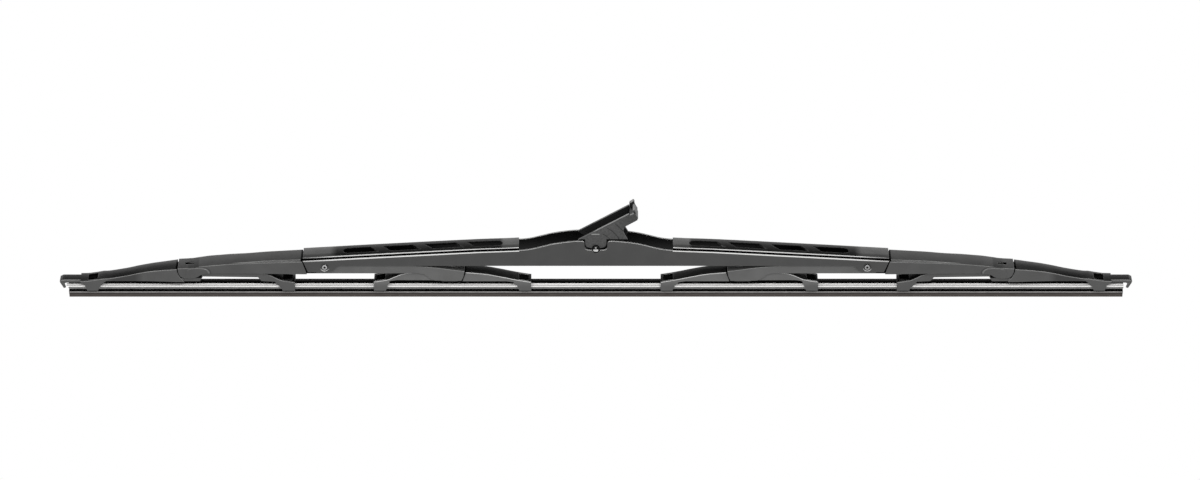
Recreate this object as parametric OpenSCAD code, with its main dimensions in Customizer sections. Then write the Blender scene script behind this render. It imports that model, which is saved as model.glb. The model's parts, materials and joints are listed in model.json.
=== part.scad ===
// Conventional windscreen wiper blade: a pressed steel bridge, two secondary
// levers and four claw levers that spread the arm's load over a rubber refill.
// Millimetres. The origin is the centre of the cross pin that the arm's adapter
// turns on. X runs along the blade, Z points away from the glass.
// Heights in the profiles are measured from the wiping edge.

/* [Blade] */

// Length of the rubber refill
refill_len = 600; // [560:5:640]
// Height of the cross pin's centre above the wiping edge
pin_h = 33.5; // [30:0.5:37]

/* [Bridge] */

// Outer width of the bridge
bridge_w = 15.4; // [15:0.1:17]
// Thickness of the bridge's sheet
bridge_t = 0.9; // [0.7:0.1:1.1]
// Half length of the opening in the bridge's top, for the adapter
well_half = 43.7; // [41:0.1:48]
// Height of the raised band along the bridge's top
band_rise = 1.4; // [0.8:0.1:2]
// Width of the raised band
band_w = 13; // [11:0.1:13.4]
// Width of the slots in the raised band
slot_w = 6.4; // [4:0.1:8]
// How far each slot's slanted end leans to either side of its middle
slot_slant = 2.4; // [0:0.1:3]
// Diameter of the cross pin
pin_d = 4.6; // [4:0.1:5]

/* [Secondary levers] */

// Distance of the bridge's rivets from the centre
rivet_x = 153.9; // [150:0.1:158]
// Height of the rivets above the wiping edge
rivet_h = 22.4; // [21.5:0.1:22.6]
// Diameter of the rivet's shank
rivet_d = 3.2; // [2.8:0.1:3.6]
// Outer width of a secondary lever
second_w = 13; // [12.6:0.1:13.2]
// Thickness of its sheet
second_t = 0.9; // [0.7:0.1:1]

/* [Claw levers] */

// Outer width of a claw lever
claw_w = 10.6; // [10.2:0.1:10.8]
// Thickness of its sheet
claw_t = 0.8; // [0.6:0.1:0.9]
// Height of the claws' lips above the wiping edge
lip_h = 6.25; // [6:0.05:6.3]
// Height of the inner claw levers' pivots
pivot_in_h = 15; // [14.8:0.1:15.2]
// Height of the outer claw levers' pivots
pivot_out_h = 17; // [16.8:0.1:17.2]

/* [Refill] */

// Half width over the two steel rails
rail_half = 4; // [3.6:0.1:4.2]
// Thickness of a rail
rail_t = 0.95; // [0.8:0.05:0.95]
// Half width of the wiping edge
edge_half = 0.35; // [0.25:0.05:0.5]

/* [Adapter] */

// Angle of the adapter's channel above the blade
adapter_tilt = 29.5; // [0:0.5:60]
// Outer width of the adapter
adapter_w = 13.2; // [12.8:0.1:13.3]
// Inner width of its channel, for a 9 mm hook
channel_w = 10; // [9.6:0.1:10.4]

/* [Hidden] */

e = 0.01;
big = 40;
in_claw = 40.4;
in_claw_far = 122.8;
out_claw = 175.1;
end_shift = refill_len / 2 - 300;
out_claw_far = 286.7 + end_shift;
pivot_in_x = 81.6;
pivot_out_x = 230.9;
bush_d = 4;
dimple_d = 2.6;
rail_z = 8.55;

// A smooth run through the points, with n steps for each span
function knot(a, b, c, d, t) =
    0.5 * (2 * b + (c - a) * t + (2 * a - 5 * b + 4 * c - d) * t * t + (3 * b - a - 3 * c + d) * t * t * t);
function flow(p, n = 4) =
    let (m = len(p) - 1)
    concat(
        [
            for (i = [0:m - 1])
                for (k = [0:n - 1])
                    knot(p[max(i - 1, 0)], p[i], p[i + 1], p[min(i + 2, m)], k / n)
        ],
        [p[m]]
    );
function mirrored(p) = [for (i = [len(p) - 1:-1:0]) [-p[i][0], p[i][1]]];
function lifted(p, dz) = [for (q = p) [q[0], q[1] + dz]];

// The outer claw lever's free end moves with the refill's length
function reach(x) = x + end_shift * min(1, max(0, (x - 240) / 40));
function reached(p) = [for (q = p) [reach(q[0]), q[1]]];

bridge_top = flow([
    [0, 38.8], [7.9, 38.7], [13, 38.5], [19, 37.8], [25, 36.75], [31, 35.2], [37.4, 33.6],
    [43.5, 32.9], [52, 32.5], [65.8, 32], [88.5, 30.8], [111.2, 29.5], [133.9, 28.2], [150, 27.2],
    [166.2, 26.2]
]);
bridge_foot = [
    [163.4, 19.2], [151.5, 19.2], [149.5, 19.7], [148, 21.2], [147, 22.6], [145.5, 23.2], [0, 23.2]
];
band_top = flow([
    [43.7, 32.9], [52, 32.5], [65.8, 32], [88.5, 30.8], [111.2, 29.5], [133.9, 28.2], [150, 27.2],
    [166.2, 26.2]
]);

// The notch over the pin, from the middle outwards
pin_notch = [
    [-1, 33.1], [4.1, 33.1], [5.02, 33.28], [5.8, 33.8], [6.32, 34.58], [6.5, 35.5], [6.5, 37.3],
    [6.6, 37.85], [6.9, 38.3], [7.35, 38.6], [8, 38.8], [8.3, 44], [-1, 44]
];

// The part of a secondary lever under the bridge
tucked_top = flow([
    [74.6, 19.2], [80.6, 19.9], [88, 21], [97.6, 22.1], [110, 23], [125, 23.9], [140, 24.4],
    [154, 24.6], [163, 24.6], [172, 24.7]
]);
tucked_foot = [
    [172, 17.9], [140, 17.9], [101, 17.9], [97.5, 17.2], [93.5, 14.1], [91.5, 13.3], [76.4, 13.1],
    [75.2, 15.8]
];
// The part beyond the bridge's end, as wide as the bridge there and narrower further out
open_top = flow([
    [166.7, 25.6], [175, 25.3], [187, 24.8], [195, 24.4], [207, 23.8], [215.5, 23.1], [220, 22.7],
    [226, 21.8], [230, 21.2], [237.4, 20.8]
]);
open_foot = concat(
    flow([[237.2, 18.6], [235.6, 15.6], [231.5, 14.6], [227, 15.2], [223.5, 17.2], [219, 17.9]]),
    [[164.1, 17.9]]
);
open_plan = [[150, 7.7], [168, 7.7], [184, 7.2], [200, 6.8], [240, 6.5]];
ridge_top = flow([[166.7, 26.6], [176, 26.15], [187, 25.6], [195, 24.95], [204, 24.2], [212, 23.3]]);
ridge_plan = [[150, 6.5], [168, 6.5], [184, 6.1], [212, 5.7], [240, 5.7]];

inner_top = flow([
    [36.8, 11.7], [40.5, 12.3], [44.8, 13.1], [50, 14.2], [54.5, 15.2], [63, 16.8], [74.3, 17.8],
    [84, 18.1], [95, 18.1], [104.4, 17.6], [109.5, 16.9], [114, 15.2], [117.3, 13.6],
    [120.5, 12.8], [126.2, 11.9]
]);
inner_foot = [
    [126.2, 8], [119, 11], [116.5, 12.6], [113, 13], [89, 12.9], [87, 12.3], [51, 12.3],
    [47, 11.7], [44, 8.5], [36.8, 8]
];
// The part of an outer claw lever inside the secondary lever
hidden_top = flow([
    [171.1, 11.5], [175.1, 12.1], [178.4, 12.7], [181.5, 14], [185, 15.9], [189.5, 17.1],
    [197, 17.7], [210, 18.5], [222, 19.2], [231, 19.5], [242, 19.4]
]);
hidden_foot = [
    [242, 12.4], [225, 12.3], [223.3, 15.3], [192, 14.8], [190, 12.4], [182.5, 12], [179.5, 8.5],
    [171.1, 8]
];
// The part beyond it, which narrows towards the blade's end
tail_top = reached(flow([
    [238, 20.4], [245, 19.6], [253, 18.6], [260, 17.3], [266, 15.9], [272.9, 14.6], [277.5, 13.9],
    [280.2, 13.8], [283, 13.3], [286, 12.8], [289, 12.4], [293.2, 12.3]
]));
tail_foot = reached([
    [293, 11.4], [290.4, 9.6], [289.5, 8], [283, 8], [281, 10.4], [278.3, 12.4], [234, 12.4],
    [234.8, 13.7], [236.2, 15], [237.8, 18.4]
]);
tail_plan = reached([[230, 6.5], [238.5, 6.5], [246, 5.9], [255, 5.4], [262, 5.3], [300, 5.3]]);

module side_plate(points, width) {
    rotate([90, 0, 0])
        linear_extrude(height = width, center = true)
            polygon(points);
}

// A side profile cut to a plan of half widths
module tapered_plate(points, plan) {
    intersection() {
        side_plate(points, big);
        linear_extrude(height = big)
            polygon(concat(plan, [for (i = [len(plan) - 1:-1:0]) [plan[i][0], -plan[i][1]]]));
    }
}

function inset(plan, t) = [for (q = plan) [q[0], q[1] - t]];
function after_first(p) = [for (i = [1:len(p) - 1]) p[i]];

module cross_rod(x, h, d, from, to) {
    translate([x, from, h])
        rotate([-90, 0, 0])
            cylinder(h = to - from, d = d, $fn = 48);
}

// Everything is drawn up from the wiping edge and lowered to the pin's centre
module from_edge() {
    translate([0, 0, -pin_h])
        children();
}

module half_bridge() {
    inside_w = bridge_w - 2 * bridge_t;
    difference() {
        union() {
            side_plate(concat(bridge_top, bridge_foot), bridge_w);
            side_plate(concat(lifted(band_top, band_rise), [[166.2, 25], [43.7, 31.5]]), band_w);
        }
        side_plate(concat(lifted(bridge_top, -bridge_t), [
            [170, 25.2], [170, 10], [-1, 10], [-1, 37.8]
        ]), inside_w);
        side_plate(concat(lifted(band_top, band_rise - bridge_t), [
            [170, 26.5], [170, 20], [43.7, 20]
        ]), band_w - 2 * bridge_t);
        translate([-1, -inside_w / 2, 20])
            cube([well_half + 1, inside_w, big]);
        translate([-1, -big / 2, 46])
            cube([well_half + 1, big, 4]);
        cross_rod(rivet_x, rivet_h, rivet_d, -big, big);
        for (side = [-1, 1])
            translate([rivet_x, side * (bridge_w / 2 - 0.3), rivet_h])
                rotate([-90 * side, 0, 0])
                    cylinder(h = 2, d = 5, $fn = 48);
        cross_rod(0, pin_h, pin_d, -big, big);
        side_plate(pin_notch, big);
    }
}

// One slanted slot, from x0 to x1 at its middle
module slot(x0, x1, slant0, slant1) {
    translate([0, 0, 24])
        linear_extrude(height = 20)
            polygon([
                [x0 + slant0, -slot_w / 2],
                [x1 + slant1, -slot_w / 2],
                [x1 - slant1, slot_w / 2],
                [x0 - slant0, slot_w / 2]
            ]);
}

module main_bridge() {
    color([0.13, 0.13, 0.13])
        from_edge()
            difference() {
                union() {
                    half_bridge();
                    mirror([1, 0, 0])
                        half_bridge();
                }
                slot(-140.4, -125.7, 0, slot_slant);
                slot(-118.7, -101.7, slot_slant, slot_slant);
                slot(-95, -77.3, slot_slant, slot_slant);
                slot(-71.1, -56, slot_slant, 0);
                slot(56, 71.1, 0, slot_slant);
                slot(77.3, 95, slot_slant, slot_slant);
                slot(101.7, 118.7, slot_slant, slot_slant);
                slot(125.7, 140.4, slot_slant, 0);
                for (x = [-140.4, -56, 56, 140.4])
                    translate([x, 0, 24])
                        cylinder(h = 20, d = slot_w, $fn = 48);
            }
}

module pivot_pin() {
    color([0.75, 0.75, 0.76])
        cross_rod(0, 0, pin_d, -bridge_w / 2 + 0.1, bridge_w / 2 - 0.1);
}

module rivet_form() {
    from_edge() {
        cross_rod(rivet_x, rivet_h, rivet_d, -bridge_w / 2 + 0.3 - e, bridge_w / 2 - 0.3 + e);
        for (side = [-1, 1])
            translate([rivet_x, side * (bridge_w / 2 - 0.3), rivet_h])
                rotate([-90 * side, 0, 0])
                    cylinder(h = 0.8, d1 = 3.9, d2 = 2.9, $fn = 48);
    }
}

module rivet_left() {
    color([0.7, 0.7, 0.7])
        mirror([1, 0, 0])
            rivet_form();
}

module rivet_right() {
    color([0.7, 0.7, 0.7])
        rivet_form();
}

// Plastic sleeve between a rivet and the secondary lever
module sleeve_form() {
    reach = bridge_w / 2 - bridge_t - 0.05;
    from_edge()
        difference() {
            cross_rod(rivet_x, rivet_h, 4.4, -reach, reach);
            cross_rod(rivet_x, rivet_h, rivet_d + 0.1, -big, big);
        }
}

module sleeve_left() {
    color([0.08, 0.08, 0.08])
        mirror([1, 0, 0])
            sleeve_form();
}

module sleeve_right() {
    color([0.08, 0.08, 0.08])
        sleeve_form();
}

module second_form() {
    inside_w = second_w - 2 * second_t;
    from_edge() {
        difference() {
            union() {
                side_plate(concat(tucked_top, tucked_foot), second_w);
                tapered_plate(concat(open_top, open_foot), open_plan);
                tapered_plate(concat(ridge_top, [[212, 21], [166, 24.2]]), ridge_plan);
            }
            side_plate(concat(lifted(tucked_top, -second_t), [[172, 8], [70, 8], [70, 17.5]]), inside_w);
            tapered_plate(
                concat(
                    [[167.6, 25.6 - second_t]],
                    lifted(after_first(open_top), -second_t),
                    [[245, 19], [245, 8], [165, 8], [165, 17.9]]
                ),
                inset(open_plan, second_t)
            );
            tapered_plate(
                concat(
                    [[167.6, 26.6 - second_t]],
                    lifted(after_first(ridge_top), -second_t),
                    [[212, 21], [167.6, 21]]
                ),
                inset(ridge_plan, second_t)
            );
            cross_rod(rivet_x, rivet_h, 4.4, -big, big);
            translate([228.5, -1.3, 15])
                cube([4.8, 2.6, 10]);
            translate([79, -1.6, 15])
                cube([5.6, 3.2, 10]);
        }
        for (side = [-1, 1]) {
            translate([pivot_out_x, side * (inside_w / 2 - 0.45), pivot_out_h])
                rotate([90, 0, 0])
                    cylinder(h = 1.5, d = dimple_d, center = true, $fn = 32);
            translate([pivot_in_x, side * (inside_w / 2 - 0.6 + e), pivot_in_h])
                rotate([90, 0, 0])
                    cylinder(h = 1.2, d = dimple_d, center = true, $fn = 32);
        }
    }
}

module secondary_left() {
    color([0.14, 0.14, 0.14])
        mirror([1, 0, 0])
            second_form();
}

module secondary_right() {
    color([0.14, 0.14, 0.14])
        second_form();
}

// One claw: two legs with inward lips under the refill's head
module claw(points, lip_from, lip_to) {
    inside_w = claw_w - 2 * claw_t;
    difference() {
        side_plate(points, claw_w);
        translate([-400, -inside_w / 2, 0])
            cube([800, inside_w, 20]);
    }
    for (side = [0, 1])
        mirror([0, side, 0])
            translate([lip_from, 1.6, lip_h])
                cube([lip_to - lip_from, inside_w / 2 - 1.6 + e, 0.75]);
}

module lever_shell(top, foot, inner_end, outer_end) {
    inside_w = claw_w - 2 * claw_t;
    difference() {
        side_plate(concat(top, foot), claw_w);
        side_plate(
            concat(
                [[inner_end, top[0][1] - claw_t]],
                lifted(top, -claw_t),
                [[outer_end, 5], [inner_end, 5]]
            ),
            inside_w
        );
        children();
    }
}

module bush_holes(x, h) {
    cross_rod(x, h, bush_d, -big, big);
}

module web_window(x) {
    translate([x - 2.8, -4.1, 9])
        cube([5.6, 8.2, 10]);
}

// The claw lever beside the blade's middle
module inner_form() {
    from_edge() {
        lever_shell(inner_top, inner_foot, 30, 130) {
            bush_holes(pivot_in_x, pivot_in_h);
            web_window(in_claw + 0.6);
            web_window(in_claw_far - 0.3);
        }
        claw([[36.8, lip_h], [43.5, lip_h], [45.6, 11.5], [44.8, 12], [36.8, 10.5]], 36.8, 43.5);
        claw([[119.5, lip_h], [126.2, lip_h], [126.2, 10.5], [119, 12], [117.4, 11.8]], 119.5, 126.2);
    }
}

nose = reached([
    [288, 12.3], [303.2, 12.3], [304.9, 11.4], [304.6, 10.4], [302.7, 7.1], [301.5, 7.5],
    [302, 9.3], [302.9, 10.5], [288, 10.5]
]);

// The claw lever at the blade's end, with the nose that stops the refill
module outer_form() {
    inside_w = claw_w - 2 * claw_t;
    from_edge() {
        difference() {
            union() {
                side_plate(concat(hidden_top, hidden_foot), claw_w);
                tapered_plate(concat(tail_top, tail_foot), tail_plan);
            }
            side_plate(concat([[165, 10.7]], lifted(hidden_top, -claw_t), [[242, 5], [165, 5]]), inside_w);
            tapered_plate(
                concat(
                    [[238.8, 20.3 - claw_t]],
                    lifted(after_first(tail_top), -claw_t),
                    reached([[294, 11.5], [294, 5]]),
                    [[236, 5], [236.9, 15]]
                ),
                inset(tail_plan, claw_t)
            );
            bush_holes(pivot_out_x, pivot_out_h);
            web_window(out_claw + 0.2);
            web_window(out_claw_far - 0.7);
        }
        difference() {
            side_plate(nose, 7);
            translate([280 + end_shift, -2.7, 5])
                cube([22.6, 5.4, 6.5]);
            translate([280 + end_shift, -big / 2, 5])
                cube([9.5, big, 10]);
        }
        claw([[171.1, lip_h], [178.1, lip_h], [180.6, 11.8], [179.5, 12.4], [171.1, 10.5]], 171.1, 178.1);
        claw(
            reached([
                [283.2, lip_h], [289.3, lip_h], [290.6, 9.8], [290.6, 11], [289, 12], [281, 12.4],
                [279.6, 11.4], [282, 8.8]
            ]),
            283.2 + end_shift,
            289.3 + end_shift
        );
    }
}

module tertiary_inner_left() {
    color([0.13, 0.13, 0.13])
        mirror([1, 0, 0])
            inner_form();
}

module tertiary_inner_right() {
    color([0.13, 0.13, 0.13])
        inner_form();
}

module tertiary_outer_left() {
    color([0.13, 0.13, 0.13])
        mirror([1, 0, 0])
            outer_form();
}

module tertiary_outer_right() {
    color([0.13, 0.13, 0.13])
        outer_form();
}

// Plastic sleeve across a claw lever, running on the secondary lever's dimples
module bush_form(x, h) {
    from_edge()
        difference() {
            cross_rod(x, h, bush_d, -claw_w / 2 - 0.15, claw_w / 2 + 0.15);
            cross_rod(x, h, dimple_d + 0.1, -big, big);
        }
}

module bush_inner_left() {
    color([0.08, 0.08, 0.08])
        bush_form(-pivot_in_x, pivot_in_h);
}

module bush_inner_right() {
    color([0.08, 0.08, 0.08])
        bush_form(pivot_in_x, pivot_in_h);
}

module bush_outer_left() {
    color([0.08, 0.08, 0.08])
        bush_form(-pivot_out_x, pivot_out_h);
}

module bush_outer_right() {
    color([0.08, 0.08, 0.08])
        bush_form(pivot_out_x, pivot_out_h);
}

rubber_half = [
    [edge_half, 0], [0.55, 1], [1.05, 2.2], [2.2, 3.7], [2.3, 4.1], [2.15, 4.7], [0.85, 4.95],
    [0.8, 7.08], [3.9, 7.08], [3.9, rail_z], [1.3, rail_z], [1.3, rail_z + rail_t],
    [1.55, rail_z + rail_t], [1.5, 10.1], [1.25, 10.3]
];

module wiping_rubber() {
    color([0.1, 0.1, 0.1])
        from_edge()
            rotate([90, 0, 90])
                linear_extrude(height = refill_len, center = true)
                    polygon(concat(rubber_half, mirrored(rubber_half)));
}

module rail_form() {
    from_edge()
        difference() {
            translate([-refill_len / 2 - 1, 1.3, rail_z])
                cube([refill_len + 1, rail_half - 1.3, rail_t]);
            translate([-refill_len / 2 - 2, rail_half - 1, rail_z - 1])
                cube([3, 2, 3]);
        }
}

module rail_front() {
    color([0.8, 0.8, 0.8])
        mirror([0, 1, 0])
            rail_form();
}

module rail_back() {
    color([0.8, 0.8, 0.8])
        rail_form();
}

cheek = [
    [-6.2, 9.5], [-5.6, 9.7], [26.8, 9.7], [26.9, 8.7], [29.5, 8.5], [30.1, 7.9], [30.1, 5.4],
    [29.7, 4.7], [28.9, 4.3], [21.2, 4], [19.8, 2.9], [18.7, 1.7], [18.4, 0], [18.4, -4.3],
    [16.5, -6.2], [13, -7], [6.5, -7], [5.4, -4], [4.4, -2.9], [-1.2, -2.9], [-3.6, 2.4],
    [-4.5, 4.2], [-4.6, 6]
];
end_wall = [
    [26.6, 4], [29.7, 4], [30.7, 9.9], [29.6, 9.9], [29, 8.4], [26.6, 8.4], [26.6, 7.5],
    [28.8, 7.5], [28.2, 4.9], [26.6, 4.9]
];

module adapter() {
    rim = pin_d + 4.4;
    color([0.16, 0.16, 0.16])
        rotate([0, -adapter_tilt, 0]) {
            difference() {
                union() {
                    difference() {
                        side_plate(cheek, adapter_w);
                        translate([-20, -channel_w / 2, -20])
                            cube([60, channel_w, 40]);
                    }
                    rotate([90, 0, 0])
                        cylinder(h = channel_w + 2 * e, d = rim, center = true, $fn = 64);
                    side_plate([[3.2, 3], [29, 3.4], [29, 4.9], [3.2, 4.5]], channel_w + 2 * e);
                    side_plate(end_wall, channel_w + 2 * e);
                    translate([0, adapter_w / 2 - 1.6, 0])
                        side_plate([
                            [27.4, 8.6], [30, 8.6], [30.9, 10.2], [30.9, 11.2], [30.5, 11.4],
                            [28.2, 11.1], [27.7, 10.6]
                        ], 3.2);
                }
                rotate([90, 0, 0])
                    cylinder(h = big, d = pin_d + 0.1, center = true, $fn = 64);
                translate([-1.9, -big / 2, -big])
                    cube([3.8, big, big]);
            }
        }
}

adapter();
main_bridge();
pivot_pin();
rivet_left();
rivet_right();
sleeve_left();
sleeve_right();
secondary_left();
secondary_right();
tertiary_inner_left();
tertiary_inner_right();
tertiary_outer_left();
tertiary_outer_right();
bush_inner_left();
bush_inner_right();
bush_outer_left();
bush_outer_right();
wiping_rubber();
rail_front();
rail_back();
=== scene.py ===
import json
import math

import bpy
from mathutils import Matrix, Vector


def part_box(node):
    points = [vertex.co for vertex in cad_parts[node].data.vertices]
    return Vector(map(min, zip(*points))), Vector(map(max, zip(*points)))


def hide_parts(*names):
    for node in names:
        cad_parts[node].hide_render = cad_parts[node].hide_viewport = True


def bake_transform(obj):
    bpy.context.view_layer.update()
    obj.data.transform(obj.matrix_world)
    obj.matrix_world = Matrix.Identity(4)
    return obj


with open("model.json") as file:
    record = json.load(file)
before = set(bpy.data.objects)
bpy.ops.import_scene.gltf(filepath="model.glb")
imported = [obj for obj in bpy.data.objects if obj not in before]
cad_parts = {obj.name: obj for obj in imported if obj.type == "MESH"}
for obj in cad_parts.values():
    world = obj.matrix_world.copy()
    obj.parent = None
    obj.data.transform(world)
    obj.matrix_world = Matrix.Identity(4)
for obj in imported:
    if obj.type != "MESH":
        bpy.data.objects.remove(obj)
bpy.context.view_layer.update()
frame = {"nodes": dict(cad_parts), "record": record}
nodes = frame["nodes"]
mm = 0.001
print("frame loaded:", len(nodes), "nodes")

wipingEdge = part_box("wiping_rubber")[0].z  # the lowest line of the blade


# Small helpers for node trees; lengths in the materials are in mm

def feed(tree, value, socket):
    # a number or a colour is set, a socket is linked
    if isinstance(value, (int, float, tuple)):
        socket.default_value = value
    else:
        tree.links.new(value, socket)


def newMaterial(name):
    material = bpy.data.materials.new(name)
    material.use_nodes = True
    tree = material.node_tree
    tree.nodes.clear()
    output = tree.nodes.new("ShaderNodeOutputMaterial")
    shader = tree.nodes.new("ShaderNodeBsdfPrincipled")
    tree.links.new(shader.outputs["BSDF"], output.inputs["Surface"])
    return material, tree, shader


def newGroup(name, inputs, outputs):
    group = bpy.data.node_groups.new(name, "ShaderNodeTree")
    for socketName, kind, value in inputs:
        socket = group.interface.new_socket(name=socketName, in_out="INPUT", socket_type=kind)
        socket.default_value = value
    for socketName, kind in outputs:
        group.interface.new_socket(name=socketName, in_out="OUTPUT", socket_type=kind)
    inside = group.nodes.new("NodeGroupInput")
    outside = group.nodes.new("NodeGroupOutput")
    return group, inside, outside


def placeGroup(tree, group, values):
    node = tree.nodes.new("ShaderNodeGroup")
    node.node_tree = group
    for key, value in values.items():
        node.inputs[key].default_value = value
    return node


def maths(tree, operation, a, b=None):
    node = tree.nodes.new("ShaderNodeMath")
    node.operation = operation
    feed(tree, a, node.inputs[0])
    if b is not None:
        feed(tree, b, node.inputs[1])
    return node.outputs[0]


def absolute(tree, value):
    return maths(tree, "ABSOLUTE", value)


def inverse(tree, mask):
    return maths(tree, "SUBTRACT", 1.0, mask)


def product(tree, first, *others):
    for other in others:
        first = maths(tree, "MULTIPLY", first, other)
    return first


def union(tree, first, *others):
    for other in others:
        first = maths(tree, "MAXIMUM", first, other)
    return first


def distance(tree, a, b):
    return maths(tree, "SQRT", maths(tree, "ADD", product(tree, a, a), product(tree, b, b)))


def remap(tree, value, low, high, newLow, newHigh, interpolation="LINEAR"):
    node = tree.nodes.new("ShaderNodeMapRange")
    node.interpolation_type = interpolation
    for k, x in enumerate((value, low, high, newLow, newHigh)):
        feed(tree, x, node.inputs[k])
    return node.outputs[0]


def rising(tree, value, low, high):
    return remap(tree, value, low, high, 0.0, 1.0)


def falling(tree, value, low, high):
    return remap(tree, value, low, high, 1.0, 0.0)


def spanMask(tree, value, low, high, soft):
    # 1 between low and high
    return product(tree, rising(tree, value, low - soft, low), falling(tree, value, high, high + soft))


def aroundMask(tree, value, middle, half, soft):
    return spanMask(tree, value, middle - half, middle + half, soft)


def fromNoise(tree, value, newLow, newHigh, spread=0.2):
    # a noise runs mostly within the spread either way from a half
    return remap(tree, value, 0.5 - spread, 0.5 + spread, newLow, newHigh)


def colourMix(tree, factor, a, b, blend="MIX"):
    node = tree.nodes.new("ShaderNodeMix")
    node.data_type = "RGBA"
    node.blend_type = blend
    for socket, value in zip((node.inputs[0], node.inputs[6], node.inputs[7]), (factor, a, b)):
        feed(tree, value, socket)
    return node.outputs[2]


def noise(tree, vector, scale, detail):
    node = tree.nodes.new("ShaderNodeTexNoise")
    node.inputs["Scale"].default_value = scale
    node.inputs["Detail"].default_value = detail
    tree.links.new(vector, node.inputs["Vector"])
    return node.outputs["Fac"]


def vectorMaths(tree, operation, a, b):
    node = tree.nodes.new("ShaderNodeVectorMath")
    node.operation = operation
    tree.links.new(a, node.inputs[0])
    feed(tree, b, node.inputs["Scale" if operation == "SCALE" else 1])
    return node.outputs["Value" if operation == "DOT_PRODUCT" else 0]


def axes(tree, vector):
    node = tree.nodes.new("ShaderNodeSeparateXYZ")
    tree.links.new(vector, node.inputs[0])
    return tuple(node.outputs)


def coordinate(tree, kind):
    return tree.nodes.new("ShaderNodeTexCoord").outputs[kind]


def place(tree):
    # the point's x, y and z in mm, from the pin's centre
    return axes(tree, vectorMaths(tree, "SCALE", coordinate(tree, "Object"), 1 / mm))


sectionSize = 12.0  # mm of the refill's section to one unit of its map


def sectionPlace(tree):
    # distance from the middle and height above the wiping edge, which the refill's map keeps as it bends
    node = tree.nodes.new("ShaderNodeUVMap")
    node.uv_map = "section"
    u, v = axes(tree, node.outputs["UV"])[:2]
    across = absolute(tree, maths(tree, "SUBTRACT", u, 0.5))
    return product(tree, across, sectionSize), product(tree, v, sectionSize)


def grey(value):
    # a grey that is a trace warmer than neutral
    return (value, value, value * 0.985, 1)


# Effects that several materials share

# flat, edge: cosine of the turn at which the wear starts and is full; patches: noise range; least: share between them
wearPattern = {"flat": 0.995, "edge": 0.86, "samples": 6, "scale": 420.0, "detail": 3, "patches": (0.35, 0.7),
               "least": 0.35}


def buildEdgeWear():
    # paler, smoother metal where the coat thins over an edge
    group, inside, outside = newGroup(
        "edgeWear",
        [("Coat", "NodeSocketColor", (0.03, 0.03, 0.03, 1)), ("Bare", "NodeSocketColor", (0.3, 0.3, 0.3, 1)),
         ("Width", "NodeSocketFloat", 0.0005), ("Amount", "NodeSocketFloat", 0.5)],
        [("Color", "NodeSocketColor"), ("Mask", "NodeSocketFloat")])
    p = wearPattern
    bevel = group.nodes.new("ShaderNodeBevel")
    bevel.samples = p["samples"]
    group.links.new(inside.outputs["Width"], bevel.inputs["Radius"])
    normal = group.nodes.new("ShaderNodeNewGeometry").outputs["Normal"]
    turned = vectorMaths(group, "DOT_PRODUCT", bevel.outputs["Normal"], normal)
    low, high = p["patches"]
    uneven = noise(group, coordinate(group, "Object"), p["scale"], p["detail"])
    patches = remap(group, uneven, low, high, p["least"], 1.0)
    mask = product(group, rising(group, turned, p["flat"], p["edge"]), patches, inside.outputs["Amount"])
    group.links.new(colourMix(group, mask, inside.outputs["Coat"], inside.outputs["Bare"]), outside.inputs["Color"])
    group.links.new(mask, outside.inputs["Mask"])
    return group


grainPattern = {"fine": (1.0, 3), "cloud": (0.06, 2)}  # scale against the grain's own, and detail


def buildGrain():
    # fine unevenness as a height, and broad unevenness as a mask
    group, inside, outside = newGroup(
        "surfaceGrain",
        [("Scale", "NodeSocketFloat", 900.0), ("Stretch", "NodeSocketVector", (1, 1, 1))],
        [("Height", "NodeSocketFloat"), ("Cloud", "NodeSocketFloat")])
    stretched = vectorMaths(group, "MULTIPLY", coordinate(group, "Object"), inside.outputs["Stretch"])
    scaled = vectorMaths(group, "SCALE", stretched, inside.outputs["Scale"])
    group.links.new(noise(group, scaled, *grainPattern["fine"]), outside.inputs["Height"])
    group.links.new(noise(group, scaled, *grainPattern["cloud"]), outside.inputs["Cloud"])
    return group


bendHighlightPattern = {"samples": 8, "scale": 160.0, "detail": 4, "worn": (0.3, 0.62)}  # the noise range over which the painted highlight shows in patches


def buildRoundedBendHighlight():
    # rounds the pressing's edges, and marks the bends that face up and outwards for a painted highlight
    group, inside, outside = newGroup(
        "polishedBend",
        [("Radius", "NodeSocketFloat", 0.0005), ("Low", "NodeSocketFloat", 0.12), ("High", "NodeSocketFloat", 0.3),
         ("Patchiness", "NodeSocketFloat", 0.3)],
        [("Mask", "NodeSocketFloat"), ("Normal", "NodeSocketVector")])
    p = bendHighlightPattern
    bevel = group.nodes.new("ShaderNodeBevel")
    bevel.samples = p["samples"]
    group.links.new(inside.outputs["Radius"], bevel.inputs["Radius"])
    own = group.nodes.new("ShaderNodeVectorTransform")  # so the painted highlight stays in place when the lever turns
    own.vector_type = "NORMAL"
    own.convert_from = "WORLD"
    own.convert_to = "OBJECT"
    group.links.new(bevel.outputs["Normal"], own.inputs[0])
    ny, nz = axes(group, own.outputs[0])[1:]
    slope = product(group, maths(group, "MAXIMUM", nz, 0.0), absolute(group, ny))
    band = remap(group, slope, inside.outputs["Low"], inside.outputs["High"], 0.0, 1.0, "SMOOTHSTEP")
    uneven = noise(group, coordinate(group, "Object"), p["scale"], p["detail"])
    worn = rising(group, uneven, *p["worn"])
    missing = product(group, inverse(group, worn), inside.outputs["Patchiness"])
    group.links.new(product(group, band, inverse(group, missing)), outside.inputs["Mask"])
    group.links.new(bevel.outputs["Normal"], outside.inputs["Normal"])
    return group


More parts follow.
